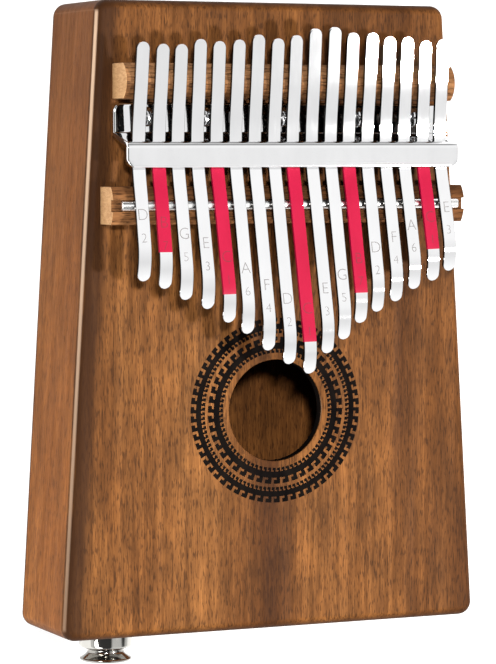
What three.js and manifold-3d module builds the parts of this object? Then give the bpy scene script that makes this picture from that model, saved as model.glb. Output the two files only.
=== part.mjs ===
// Seventeen-note box mbira (kalimba) with an end-pin pickup jack, in millimetres.
// It lies on its back: +Z points out of the soundboard, +Y towards the narrow end that holds the
// tails of the tines, and the origin is the middle of the back plate's outer face.
import * as THREE from "three";
import { mergeVertices } from "three/addons/utils/BufferGeometryUtils.js";
import Module from "manifold-3d";

const wasm = await Module();
wasm.setup();

// Driving dimensions.
const gap = 0.3; // between pieces that touch or are glued
const bodyLength = 185;
const bottomWidth = 134;
const topWidth = 112;
const bodyDepth = 38;
const edgeRound = 3;
const plateThickness = 3.2;
const sideThickness = 7;
const railThickness = 9;

const holeRadius = 15;
const holeY = -27.5;

const playX = 1; // the bridges, bracket and tines sit a little right of the centre line
const rodY = 33.4;
const rodRadius = 1.5;
const rodLength = 108;
const rodTop = 11.4; // above the soundboard
const grooveFloor = rodTop - 2 * rodRadius - gap;
const frontBridge = { length: 113, width: 10.9, height: 10, edge: 8 };
const backBridge = { y: 69, length: 105.5, width: 10.3, height: 11, edge: 8.2 };

const bracketLength = 106;
const sheetThickness = 1.5;
const flangeRearY = 62.8;
const webFootY = 53.8;
const webHeadY = 50.75;
const barFrontY = 44.3;
const barUnderside = 11.1;
const sheetBend = 1.4; // how far from a corner of the sheet its bend starts
const slotRun = { front: 1.5, rear: 2, below: 0.6 }; // how far a slot runs past the web and under its tine

const screwY = 58.9;
const screwSpacing = [-43.5, -25, 0, 25, 43.5];
const screwHeadRadius = 2.9;
const screwHeadHeight = 1.9;
const screwShankRadius = 1.4;
const screwLength = 11;
const screwPoint = 1.5;
const bridgeBlockBox = { left: -46, right: 48, front: 50, rear: 68, depth: 8 };
const screwHoleRadius = screwShankRadius + gap;

const tineWidth = 4;
const tineThickness = 1;
const slotClearance = 0.45; // each side of a tine, where it passes through the bracket's web
const tineLowest = 9; // underside of a tine where the bar holds it down
const pressBehind = 1; // a tine is lowest this far behind the middle of the bar
const tineSlope = 0.195; // rise of the playing end per millimetre
const tailSlope = 0.13; // and of the tail behind the back bridge
const curlRadius = 17.8;
const curlLength = 10.9;
// Where each tine crosses the rod and how many degrees it leans, from left to right, as set by hand.
const tinePlaces = [
  -48.7, -42.4, -36.4, -30.1, -24, -18.2, -12.1, -5.9, 0.1, 6.3, 12.3, 18.2, 24.2, 30.4, 36.6, 43, 48.8,
];
const tineLeans = [-0.2, 0, 0.4, 1, 1.2, 0.7, 0.7, 0.7, 0.9, 1.1, 0.8, 0.8, 0.5, 1, 1.4, 1.9, 2];
// Semitones of each tine above the lowest, the middle one, from left to right.
const semitones = [26, 23, 19, 16, 12, 9, 5, 2, 0, 4, 7, 11, 14, 17, 21, 24, 28];
const longestReach = 52; // reach in front of the rod is this over the root of the pitch, less the clamp's share
const clampShare = 3.4;
// How far each tine was left standing behind the back bridge when it was tuned.
const tails = [11, 10.5, 10.5, 12, 11.5, 12, 13.5, 12.5, 13.5, 15.5, 16, 14.5, 14.5, 13.5, 13.5, 12.5, 13];

const jackX = -46.7;
const jackZ = bodyDepth / 2;
const socketRadius = 3.2;
const barrelRadius = 4;
const barrelLength = 31;
const collarRadius = 7.85;
const collarLength = 5;
const buttonLength = 4;
const buttonWaistRadius = 5.4;
const buttonFlangeRadius = 7.75;
const nutRadius = 7.5;
const nutThickness = 3;
const washerThickness = 1.2;
const insulatorLength = 6;
const tag = { width: 1.6, thickness: 0.6, length: 5, offset: 1.8 }; // a solder tag, off the jack's axis

const pickup = { x: -8, y: 8, brassRadius: 13.5, ceramicRadius: 10, layer: 0.4 };
const leadRadius = 1;

const past = 20; // how far a long cutting tool runs past what it cuts

// Materials, one object each so that a colour has one place.
const finish = (color, roughness, metalness = 0) => ({ color, roughness, metalness });
const soundboardWood = finish(0x8a5f38, 0.55);
const sideWood = finish(0x9a6238, 0.5);
const bridgeWood = finish(0xb07c4c, 0.6);
const plainWood = finish(0xc8a878, 0.7);
const chrome = finish(0xe6e6e8, 0.12, 1);
const redLacquer = finish(0xd81f4a, 0.35);
const brass = finish(0xc9a14a, 0.35, 1);
const ceramic = finish(0xe9e4d6, 0.5);
const blackPlastic = finish(0x1c1c1e, 0.5);

// Geometry helpers.

// The closed solid of a geometry, with its shared corners merged.
function solidOf(geometry) {
  const bare = geometry.index ? geometry.toNonIndexed() : geometry.clone();
  bare.deleteAttribute("normal");
  bare.deleteAttribute("uv");
  const merged = mergeVertices(bare, 1e-4);
  return new wasm.Manifold(
    new wasm.Mesh({
      numProp: 3,
      vertProperties: merged.attributes.position.array,
      triVerts: new Uint32Array(merged.index.array),
    }),
  );
}

// A solid's geometry, shaded flat.
function geometryOf(solid) {
  const mesh = solid.getMesh();
  const indexed = new THREE.BufferGeometry();
  indexed.setAttribute("position", new THREE.BufferAttribute(new Float32Array(mesh.vertProperties), 3));
  indexed.setIndex(new THREE.BufferAttribute(new Uint32Array(mesh.triVerts), 1));
  const flat = indexed.toNonIndexed();
  flat.computeVertexNormals();
  return flat;
}

function cut(geometry, ...tools) {
  return geometryOf(tools.reduce((solid, tool) => solid.subtract(solidOf(tool)), solidOf(geometry)));
}

function keep(geometry, tool) {
  return geometryOf(solidOf(geometry).intersect(solidOf(tool)));
}

function box(low, high) {
  const size = high.map((value, axis) => value - low[axis]);
  const centre = high.map((value, axis) => (value + low[axis]) / 2);
  return new THREE.BoxGeometry(...size).translate(...centre);
}

// A round bar along Z from z = low to z = high.
function barZ(radius, low, high, sides = 24) {
  return new THREE.CylinderGeometry(radius, radius, high - low, sides)
    .rotateX(Math.PI / 2)
    .translate(0, 0, (low + high) / 2);
}

// A section drawn in (y, z), run along X over `length`, centred on x = 0.
function runAlongX(section, length) {
  return new THREE.ExtrudeGeometry(section, { depth: length, bevelEnabled: false, curveSegments: 6 })
    .applyMatrix4(new THREE.Matrix4().set(0, 0, 1, -length / 2, 1, 0, 0, 0, 0, 1, 0, 0, 0, 0, 0, 1));
}

// The outline of a strip of even thickness that follows a line of (y, z) points.
function strip(line, thickness) {
  const side = (sign) =>
    line.map((point, i) => {
      const along = line[Math.min(i + 1, line.length - 1)].clone().sub(line[Math.max(i - 1, 0)]).normalize();
      return new THREE.Vector2(-along.y, along.x).multiplyScalar((sign * thickness) / 2).add(point);
    });
  return new THREE.Shape([...side(1), ...side(-1).reverse()]);
}

// A profile of [radius, z] points turned about Z.
function turned(profile, sides = 24) {
  const points = profile.map(([radius, z]) => new THREE.Vector2(radius, z));
  return new THREE.LatheGeometry(points, sides).rotateX(Math.PI / 2);
}

function node(name, geometry, material) {
  const mesh = new THREE.Mesh(geometry, new THREE.MeshStandardMaterial(material));
  mesh.name = name;
  return mesh;
}

// The box: two plates on a frame of two sides and two rails.

const slant = (bottomWidth - topWidth) / 2 / bodyLength;

function halfWidth(y, inset) {
  return (bottomWidth + topWidth) / 4 - slant * y - inset * Math.hypot(1, slant);
}

// Plan of the box drawn in by `inset`, with its ends drawn in by `endInset` and its corners eased.
function plan(inset, endInset, ease) {
  const end = bodyLength / 2 - endInset;
  const corners = [
    [-halfWidth(-end, inset), -end],
    [halfWidth(-end, inset), -end],
    [halfWidth(end, inset), end],
    [-halfWidth(end, inset), end],
  ].map(([x, y]) => new THREE.Vector2(x, y));
  const shape = new THREE.Shape();
  corners.forEach((corner, i) => {
    const towards = (other) => corner.clone().add(other.clone().sub(corner).setLength(ease));
    const arrive = towards(corners[(i + 3) % 4]);
    const leave = towards(corners[(i + 1) % 4]);
    if (i === 0) shape.moveTo(arrive.x, arrive.y);
    else shape.lineTo(arrive.x, arrive.y);
    if (ease > 0) shape.quadraticCurveTo(corner.x, corner.y, leave.x, leave.y);
  });
  shape.closePath();
  return shape;
}

function prism(shape, low, high) {
  return new THREE.ExtrudeGeometry(shape, { depth: high - low, bevelEnabled: false, curveSegments: 4 })
    .translate(0, 0, low);
}

function slab(low, high) {
  return box([-bottomWidth, -bodyLength, low], [bottomWidth, bodyLength, high]);
}

const roundedBlock = new THREE.ExtrudeGeometry(plan(edgeRound, edgeRound, 1), {
  depth: bodyDepth - 2 * edgeRound,
  bevelThickness: edgeRound,
  bevelSize: edgeRound,
  bevelSegments: 4,
  curveSegments: 3,
}).translate(0, 0, edgeRound);
const frameLow = plateThickness + gap;
const frameHigh = bodyDepth - plateThickness - gap;

function screwHoles() {
  return screwSpacing.map((x) =>
    barZ(screwHoleRadius, bodyDepth - past, bodyDepth + past, 12).translate(playX + x, screwY, 0),
  );
}

function soundboard() {
  const plate = keep(roundedBlock, slab(bodyDepth - plateThickness, bodyDepth + 1));
  const hole = barZ(holeRadius, 0, bodyDepth + past, 48).translate(0, holeY, 0);
  return cut(plate, hole, ...screwHoles());
}

function backPlate() {
  return keep(roundedBlock, slab(-1, plateThickness));
}

const frameRing = cut(
  keep(roundedBlock, slab(frameLow, frameHigh)),
  prism(plan(sideThickness, railThickness, 0), -1, bodyDepth + 1),
);

function side(sign) {
  const middle = prism(plan(sideThickness, -past, 0), -1, bodyDepth + 1);
  const half = box([0, -bodyLength, -1], [bottomWidth, bodyLength, bodyDepth]);
  if (sign < 0) half.translate(-bottomWidth, 0, 0);
  return keep(cut(frameRing, middle), half);
}

function rail(sign) {
  const middle = prism(plan(sideThickness + gap, -past, 0), -1, bodyDepth + 1);
  const half = box([-bottomWidth, 0, -1], [bottomWidth, bodyLength, bodyDepth]);
  if (sign < 0) half.translate(0, -bodyLength, 0);
  return keep(keep(frameRing, middle), half);
}

function bottomRail() {
  const bore = barZ(barrelRadius + gap, -past, past).rotateX(Math.PI / 2);
  return cut(rail(-1), bore.translate(jackX, -bodyLength / 2, jackZ));
}

// The block under the soundboard that the bracket's screws bite into.
function bridgeBlock() {
  const top = bodyDepth - plateThickness - gap;
  const { left, right, front, rear, depth } = bridgeBlockBox;
  return cut(box([left, front, top - depth], [right, rear, top]), ...screwHoles());
}

function boxGroup() {
  const group = new THREE.Group();
  group.add(
    node("soundboard", soundboard(), soundboardWood),
    node("back_plate", backPlate(), soundboardWood),
    node("side_left", side(-1), sideWood),
    node("side_right", side(1), sideWood),
    node("top_rail", rail(1), sideWood),
    node("bottom_rail", bottomRail(), sideWood),
    node("bridge_block", bridgeBlock(), plainWood),
  );
  return group;
}

// The bridges, the rod and the bracket. From here to the tines z = 0 is the soundboard's face.

// A bar's section: upright sides up to `edge`, then one arc over the top at `height`.
function crownedSection(width, edge, height) {
  const rise = height - edge;
  const radius = (width * width / 4 + rise * rise) / (2 * rise);
  const reach = Math.asin(width / 2 / radius);
  const shape = new THREE.Shape();
  shape.moveTo(-width / 2, gap);
  shape.lineTo(width / 2, gap);
  shape.lineTo(width / 2, edge);
  shape.absarc(0, height - radius, radius, Math.PI / 2 - reach, Math.PI / 2 + reach, false);
  shape.closePath();
  return shape;
}

function frontBridgeShape() {
  const { length, width, edge, height } = frontBridge;
  const bar = runAlongX(crownedSection(width, edge, height), length);
  const halfGroove = rodRadius + gap;
  return cut(bar, box([-length, -halfGroove, grooveFloor], [length, halfGroove, height + 1]));
}

function bracketLine() {
  const flange = gap + sheetThickness / 2;
  const bar = barUnderside + sheetThickness / 2;
  const line = new THREE.Path();
  line.moveTo(barFrontY, bar);
  line.lineTo(webHeadY - sheetBend, bar);
  line.quadraticCurveTo(webHeadY, bar, webHeadY + sheetBend * 0.3, bar - sheetBend);
  line.lineTo(webFootY - sheetBend * 0.3, flange + sheetBend);
  line.quadraticCurveTo(webFootY, flange, webFootY + sheetBend, flange);
  line.lineTo(flangeRearY, flange);
  return line.getPoints(4);
}

function bracket() {
  const sheet = runAlongX(strip(bracketLine(), sheetThickness), bracketLength);
  const slots = semitones.map((_, i) => {
    const x = tinePlaces[i] - (webHeadY - rodY) * Math.tan(lean(i));
    const half = tineWidth / 2 + slotClearance;
    const low = [x - half, webHeadY - slotRun.front, tineLowest - slotRun.below];
    return box(low, [x + half, webFootY + slotRun.rear, barUnderside]);
  });
  const holes = screwSpacing.map((x) => barZ(screwHoleRadius, -1, 3, 12).translate(x, screwY, 0));
  return cut(sheet, ...slots, ...holes);
}

function screw() {
  const seat = gap + sheetThickness + gap;
  return turned([
    [0, seat - screwLength],
    [screwShankRadius, seat - screwLength + screwPoint],
    [screwShankRadius, seat],
    [screwHeadRadius, seat],
    [screwHeadRadius, seat + screwHeadHeight * 0.4],
    [screwHeadRadius * 0.75, seat + screwHeadHeight * 0.85],
    [0, seat + screwHeadHeight],
  ], 12);
}

// The tines.

function lean(index) {
  return THREE.MathUtils.degToRad(tineLeans[index]);
}

function reach(index) {
  return longestReach * 2 ** (-semitones[index] / 24) - clampShare;
}

// The middle line of a tine in (y, z), with y = 0 over the rod, from its tail to its curled tip.
function tineLine(index) {
  const half = tineThickness / 2;
  const overRod = rodTop + gap + half;
  const overBridge = backBridge.height + gap + half;
  const lowest = tineLowest + half;
  const bridgeY = backBridge.y - rodY;
  const barY = (barFrontY + webHeadY) / 2 - rodY + pressBehind;
  const tail = tails[index];
  const angle = Math.atan(tineSlope);
  const curlDepth = curlRadius * (Math.sin(angle) + Math.sin(curlLength / curlRadius - angle));
  const curlStart = curlDepth - reach(index);
  const line = new THREE.Path();
  line.moveTo(bridgeY + tail, overBridge + tail * tailSlope);
  line.lineTo(bridgeY, overBridge);
  line.bezierCurveTo(bridgeY - 8, overBridge - 1.1, barY + 8, lowest, barY, lowest);
  line.bezierCurveTo(barY - 5, lowest, 4, overRod - 4 * tineSlope, 0, overRod);
  line.lineTo(curlStart, overRod - curlStart * tineSlope);
  const centre = new THREE.Vector2(-Math.sin(angle), -Math.cos(angle)).multiplyScalar(curlRadius)
    .add(new THREE.Vector2(curlStart, overRod - curlStart * tineSlope));
  const from = Math.PI / 2 - angle;
  line.absarc(centre.x, centre.y, curlRadius, from, from + curlLength / curlRadius, false);
  return line.getPoints(6).filter((point, i, all) => i === 0 || point.distanceTo(all[i - 1]) > 0.01);
}

// A bent strip with half-round ends.
function tine(index) {
  const line = tineLine(index);
  const bent = runAlongX(strip(line, tineThickness), tineWidth + 2);
  const radius = tineWidth / 2;
  const rear = line[0].x;
  const front = line[line.length - 1].x;
  const outline = new THREE.Shape();
  outline.absarc(0, rear - radius, radius, 0, Math.PI, false);
  outline.absarc(0, front + radius, radius, Math.PI, 2 * Math.PI, false);
  const plate = new THREE.ExtrudeGeometry(outline, { depth: 60, bevelEnabled: false, curveSegments: 5 });
  return keep(bent, plate);
}

const redTines = [2, 5, 9, 12, 16];

function playGroup() {
  const group = new THREE.Group();
  group.position.set(playX, 0, bodyDepth);
  const front = node("front_bridge", frontBridgeShape(), bridgeWood);
  front.position.y = rodY;
  const { length, width, edge, height } = backBridge;
  const back = node("back_bridge", runAlongX(crownedSection(width, edge, height), length), bridgeWood);
  back.position.y = backBridge.y;
  const rod = node("saddle_rod", new THREE.CylinderGeometry(rodRadius, rodRadius, rodLength, 20), chrome);
  rod.rotation.z = Math.PI / 2;
  rod.position.set(0, rodY, rodTop - rodRadius);
  group.add(front, back, rod, node("tine_bracket", bracket(), chrome));
  screwSpacing.forEach((x, i) => {
    const piece = node(`bracket_screw_${i + 1}`, screw(), chrome);
    piece.position.set(x, screwY, 0);
    group.add(piece);
  });
  semitones.forEach((_, i) => {
    const number = i + 1;
    const name = `tine_${String(number).padStart(2, "0")}`;
    const piece = node(name, tine(i), redTines.includes(number) ? redLacquer : chrome);
    piece.position.set(tinePlaces[i], rodY, 0);
    piece.rotation.z = lean(i);
    group.add(piece);
  });
  return group;
}

// The end-pin jack. Its own z runs out of the box's bottom end, with z = 0 on the bottom rail.

function jackBarrel() {
  const outer = collarLength + buttonLength - gap;
  return turned([
    [socketRadius, outer - barrelLength],
    [barrelRadius, outer - barrelLength],
    [barrelRadius, outer],
    [socketRadius, outer],
    [socketRadius, outer - barrelLength],
  ]);
}

function ring(innerRadius, outerRadius, low, high, chamfer = 0) {
  return turned([
    [innerRadius, low],
    [outerRadius, low],
    [outerRadius, high - chamfer],
    [outerRadius - chamfer, high],
    [innerRadius, high],
    [innerRadius, low],
  ].filter((point, i, all) => i === 0 || point[0] !== all[i - 1][0] || point[1] !== all[i - 1][1]));
}

function strapButton() {
  const low = collarLength + gap;
  const high = collarLength + buttonLength;
  const bore = barrelRadius + gap;
  return turned([
    [bore, low],
    [buttonWaistRadius + 0.5, low],
    [buttonWaistRadius, low + 0.7],
    [buttonWaistRadius + 0.3, low + 1.5],
    [buttonFlangeRadius - 0.4, high - 1.2],
    [buttonFlangeRadius, high - 0.7],
    [buttonFlangeRadius - 0.6, high],
    [bore, high],
    [bore, low],
  ]);
}

function innerNut() {
  const nut = new THREE.CylinderGeometry(nutRadius, nutRadius, nutThickness, 6).rotateX(Math.PI / 2);
  return cut(nut, barZ(barrelRadius + gap, -past, past));
}

function solderTag() {
  return box([-tag.width / 2, -tag.thickness / 2, -tag.length], [tag.width / 2, tag.thickness / 2, 0]);
}

function jackGroup() {
  const group = new THREE.Group();
  group.position.set(jackX, -bodyLength / 2, jackZ);
  group.rotation.x = Math.PI / 2;
  const bore = barrelRadius + gap;
  const barrelEnd = collarLength + buttonLength - gap - barrelLength;
  const nut = node("jack_inner_nut", innerNut(), chrome);
  const washerInner = -railThickness - gap - washerThickness;
  nut.position.z = washerInner - gap - nutThickness / 2;
  const insulator = node("jack_insulator", barZ(barrelRadius, 0, insulatorLength), blackPlastic);
  insulator.position.z = barrelEnd - gap - insulatorLength;
  const tip = node("tip_terminal", solderTag(), brass);
  tip.position.set(0, tag.offset, insulator.position.z - gap);
  const ground = node("ground_terminal", solderTag(), brass);
  ground.position.set(0, -tag.offset, insulator.position.z - gap);
  group.add(
    node("jack_barrel", jackBarrel(), chrome),
    node("jack_collar", ring(bore, collarRadius, gap, collarLength, 0.7), chrome),
    node("strap_button", strapButton(), chrome),
    node("jack_washer", ring(bore, nutRadius, washerInner, washerInner + washerThickness), chrome),
    nut,
    insulator,
    tip,
    ground,
  );
  return group;
}

// The pickup under the soundboard and its lead to the jack.

function pickupGroup() {
  const under = bodyDepth - plateThickness - gap;
  const { x, y, brassRadius, ceramicRadius, layer } = pickup;
  const brassLow = under - layer;
  const disc = barZ(brassRadius, brassLow, under, 32).translate(x, y, 0);
  const pill = barZ(ceramicRadius, brassLow - gap - layer, brassLow - gap, 28).translate(x, y, 0);
  const leadTop = brassLow - gap - layer - gap - leadRadius;
  const jackOuter = collarLength + buttonLength;
  const jackInnerY = -bodyLength / 2 + barrelLength - jackOuter + 2 * gap + insulatorLength + tag.length;
  const route = new THREE.CatmullRomCurve3([
    new THREE.Vector3(jackX, jackInnerY + gap + leadRadius, jackZ),
    new THREE.Vector3(jackX - 1, jackInnerY + 10, jackZ + 3),
    new THREE.Vector3(jackX + 2, jackInnerY + 28, leadTop - 6),
    new THREE.Vector3(jackX + 12, jackInnerY + 45, leadTop),
    new THREE.Vector3(x - brassRadius - 4, y, leadTop),
    new THREE.Vector3(x - ceramicRadius / 2, y, leadTop),
  ]);
  const section = new THREE.Shape().absarc(0, 0, leadRadius, 0, 2 * Math.PI, false);
  const lead = new THREE.ExtrudeGeometry(section, { steps: 24, extrudePath: route, curveSegments: 4 });
  const group = new THREE.Group();
  group.add(
    node("pickup_disc", disc, brass),
    node("pickup_ceramic", pill, ceramic),
    node("pickup_lead", lead, blackPlastic),
  );
  return group;
}

const mbira = new THREE.Group();
mbira.add(boxGroup(), playGroup(), jackGroup(), pickupGroup());

export default mbira;
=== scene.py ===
"""Looks for the seventeen-tine box mbira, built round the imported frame. Lengths are in metres."""

import math

import bmesh
import bpy
from mathutils import Matrix, Vector


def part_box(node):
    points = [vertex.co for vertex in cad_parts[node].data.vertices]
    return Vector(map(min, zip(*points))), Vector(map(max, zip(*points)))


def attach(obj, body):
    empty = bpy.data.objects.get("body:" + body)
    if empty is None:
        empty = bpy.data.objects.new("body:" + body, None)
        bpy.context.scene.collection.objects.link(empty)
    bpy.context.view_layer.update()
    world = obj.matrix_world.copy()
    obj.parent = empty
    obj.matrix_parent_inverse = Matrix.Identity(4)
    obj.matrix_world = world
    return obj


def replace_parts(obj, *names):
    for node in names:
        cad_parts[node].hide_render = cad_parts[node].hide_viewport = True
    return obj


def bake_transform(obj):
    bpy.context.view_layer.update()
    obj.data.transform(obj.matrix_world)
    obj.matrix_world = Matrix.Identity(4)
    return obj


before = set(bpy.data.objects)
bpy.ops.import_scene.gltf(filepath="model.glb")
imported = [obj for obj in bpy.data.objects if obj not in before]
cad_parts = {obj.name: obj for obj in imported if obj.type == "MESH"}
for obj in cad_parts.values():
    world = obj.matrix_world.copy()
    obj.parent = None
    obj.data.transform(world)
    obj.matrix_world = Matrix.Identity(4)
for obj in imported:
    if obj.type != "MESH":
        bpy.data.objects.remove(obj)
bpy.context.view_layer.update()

mm = 0.001
BODY = "body"

# ---------------------------------------------------------------- places taken from the frame

board_low, board_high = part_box("soundboard")
back_low, back_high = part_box("back_plate")
rod_low, rod_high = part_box("saddle_rod")
collar_low, collar_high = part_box("jack_collar")
button_low, button_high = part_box("strap_button")
barrel_low, barrel_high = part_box("jack_barrel")
bracket_low, bracket_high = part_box("tine_bracket")

FACE = board_high.z
PLAY_X = (rod_low.x + rod_high.x) / 2
ROD_Y = (rod_low.y + rod_high.y) / 2
ROD_RADIUS = (rod_high.z - rod_low.z) / 2
JACK_X = (collar_low.x + collar_high.x) / 2
JACK_Z = (collar_low.z + collar_high.z) / 2
BOTTOM_Y = board_low.y
TOP_Y = board_high.y

# Sizes that the boxes above don't hold, as the CAD model has them.
EDGE_ROUND = 3 * mm
CORNER_ROUND = 4 * mm
SIDE_THICKNESS = 7 * mm
RAIL_THICKNESS = 9 * mm
HOLE_RADIUS = 15 * mm
HOLE_Y = -27.5 * mm
ROSETTE_RADIUS = 27.4 * mm
SEAM = 0.04 * mm

SHEET = 1.5 * mm
FLANGE_REAR_Y = 62.8 * mm
WEB_FOOT_Y = 53.8 * mm
WEB_HEAD_Y = 50.75 * mm
BAR_FRONT_Y = 44.3 * mm
BAR_TOP = bracket_high.z - FACE
PRESS = 0.85 * mm  # how far the bar's underside stands below the sheet, down to the tines
SCREW_Y = 58.9 * mm
SCREW_PLACES = [-43.5 * mm, -25 * mm, 0, 25 * mm, 43.5 * mm]

TINE_WIDTH = 4 * mm
TINE_THICKNESS = 0.998 * mm
TINE_SLOPE = 0.195
CURL_RADIUS = 17.8 * mm
CURL_LENGTH = 10.9 * mm
# Where each tine crosses the rod in mm, its lean in degrees and its tail in mm, from left to right. As in the
# CAD model, these three tables are the rounded output of a fitting program, and not chosen by hand. The slope
# and the curl's two sizes above come from the same fit.
PLACES = [
    -48.7, -42.4, -36.4, -30.1, -24, -18.2, -12.1, -5.9, 0.1, 6.3, 12.3, 18.2, 24.2, 30.4, 36.6, 43, 48.8,
]
LEANS = [-0.2, 0, 0.4, 1, 1.2, 0.7, 0.7, 0.7, 0.9, 1.1, 0.8, 0.8, 0.5, 1, 1.4, 1.9, 2]
TAILS = [11, 10.5, 10.5, 12, 11.5, 12, 13.5, 12.5, 13.5, 15.5, 16, 14.5, 14.5, 13.5, 13.5, 12.5, 13]
# Semitones of each tine above the lowest, the middle one, and its note.
SEMITONES = [26, 23, 19, 16, 12, 9, 5, 2, 0, 4, 7, 11, 14, 17, 21, 24, 28]
NOTES = "DBGECAFDCEGBDFACE"
# Bare steel left at the tip of each red tine, by the tine's number.
RED_STOPS = {2: 10.4 * mm, 5: 8.2 * mm, 9: 9.3 * mm, 12: 8.9 * mm, 16: 9.4 * mm}
LONGEST_REACH = 52  # in mm, over the root of the pitch, less the clamp's share
CLAMP_SHARE = 3.4
TAIL_SLOPE = 0.13
SLOT_CLEARANCE = 0.45 * mm
SCREW_HEAD_HEIGHT = 1.9 * mm
BUTTON_WAIST = 5.4 * mm
SOCKET_RADIUS = 3.2 * mm
BARREL_RADIUS = 4 * mm
OVER_ROD = 12.2 * mm
OVER_BRIDGE = 11.8 * mm
LOWEST = 9.5 * mm
BRIDGE_Y = 69 * mm - ROD_Y


def side_line():
    """Half the box's width at y = 0 and its change per metre of y, from the straight right side of the
    soundboard."""
    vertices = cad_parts["soundboard"].data.vertices
    right = sorted((v.co.y, v.co.x) for v in vertices if v.co.z < board_low.z + 0.1 * mm and v.co.x > 50 * mm)
    (y0, x0), (y1, x1) = max(zip(right, right[1:]), key=lambda pair: pair[1][0] - pair[0][0])
    slope = (x1 - x0) / (y1 - y0)
    return x0 - slope * y0, slope


HALF_WIDTH, SLOPE = side_line()
LEAN = math.degrees(math.atan(-SLOPE))


# ---------------------------------------------------------------- camera, floor and light

def make_camera():
    data = bpy.data.cameras.new("camera")
    data.lens = 166.4
    data.sensor_width = 36
    camera = bpy.data.objects.new("camera", data)
    bpy.context.scene.collection.objects.link(camera)
    camera.location = (-0.3797, 0.0508, 0.8583)
    camera.rotation_euler = (math.radians(-3.49), math.radians(-24.32), 0)
    bpy.context.scene.camera = camera


def area_light(name, place, target, size, power, colour=(1, 1, 1)):
    data = bpy.data.lights.new(name, "AREA")
    data.shape = "RECTANGLE"
    data.size, data.size_y = size
    data.energy = power
    data.color = colour
    light = bpy.data.objects.new(name, data)
    light.location = place
    light.rotation_euler = (Vector(target) - Vector(place)).to_track_quat("-Z", "Y").to_euler()
    bpy.context.scene.collection.objects.link(light)


def make_world():
    """A dim studio with a pale horizon and one large softbox over the right of the instrument."""
    world = bpy.data.worlds.new("studio")
    bpy.context.scene.world = world
    world.use_nodes = True
    tree = world.node_tree

    def calculate(operation, first, second):
        node = tree.nodes.new("ShaderNodeMath")
        node.operation = operation
        for socket, value in enumerate((first, second)):
            if isinstance(value, (int, float)):
                node.inputs[socket].default_value = value
            else:
                tree.links.new(value, node.inputs[socket])
        return node.outputs[0]

    def ease(value, start, end, first, last):
        node = tree.nodes.new("ShaderNodeMapRange")
        node.interpolation_type = "SMOOTHSTEP"
        for socket, number in enumerate((start, end, first, last)):
            node.inputs[socket + 1].default_value = number
        tree.links.new(value, node.inputs[0])
        return node.outputs[0]

    direction = tree.nodes.new("ShaderNodeTexCoord").outputs["Generated"]
    split = tree.nodes.new("ShaderNodeSeparateXYZ")
    tree.links.new(direction, split.inputs[0])
    x, y, z = split.outputs
    # The softbox's extent across and along the instrument, by direction.
    across = calculate("MULTIPLY", ease(x, 0.02, 0.2, 0, 1), ease(x, 0.7, 0.85, 1, 0))
    along = calculate("MULTIPLY", ease(y, -1.0, -0.8, 0.5, 1), ease(y, 0.5, 0.8, 1, 0.3))
    softbox = calculate("MULTIPLY", across, along)
    shade = calculate("MAXIMUM", ease(y, -0.3, 0.3, 0.84, 1.04), ease(y, -0.75, -0.2, 1.15, 0.84))
    softbox = calculate("MULTIPLY", softbox, shade)
    horizon = ease(z, 0.12, 0.4, 1, 0.06)
    strength = calculate("MAXIMUM", softbox, horizon)
    tree.links.new(strength, tree.nodes["Background"].inputs["Strength"])
    tree.nodes["Background"].inputs["Color"].default_value = (1, 1, 1, 1)


def make_stage():
    bpy.context.scene.view_settings.view_transform = "Standard"
    half = 3
    corners = [(-half, -half, 0), (half, -half, 0), (half, half, 0), (-half, half, 0)]
    mesh = bpy.data.meshes.new("floor")
    mesh.from_pydata(corners, [], [(0, 1, 2, 3)])
    floor = bpy.data.objects.new("floor", mesh)
    bpy.context.scene.collection.objects.link(floor)
    material = bpy.data.materials.new("floor")
    material.use_nodes = True
    shader = material.node_tree.nodes["Principled BSDF"]
    shader.inputs["Base Color"].default_value = (0.4, 0.4, 0.4, 1)
    shader.inputs["Roughness"].default_value = 0.95
    shader.inputs["Specular IOR Level"].default_value = 0.1
    shader.inputs["Emission Color"].default_value = (1, 1, 1, 1)
    shader.inputs["Emission Strength"].default_value = 0.78
    mesh.materials.append(material)
    centre = (0, 0, FACE)
    area_light("key", (0.78, -0.2, 1.37), centre, (0.11, 0.11), 30, (1.0, 0.985, 0.96))
    area_light("left_strip", (-0.8, -0.75, 0.5), centre, (0.8, 0.24), 8.5)
    area_light("front_fill", (-0.49, 0.29, 1.34), centre, (0.11, 0.11), 20)


# ---------------------------------------------------------------- node materials

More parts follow.
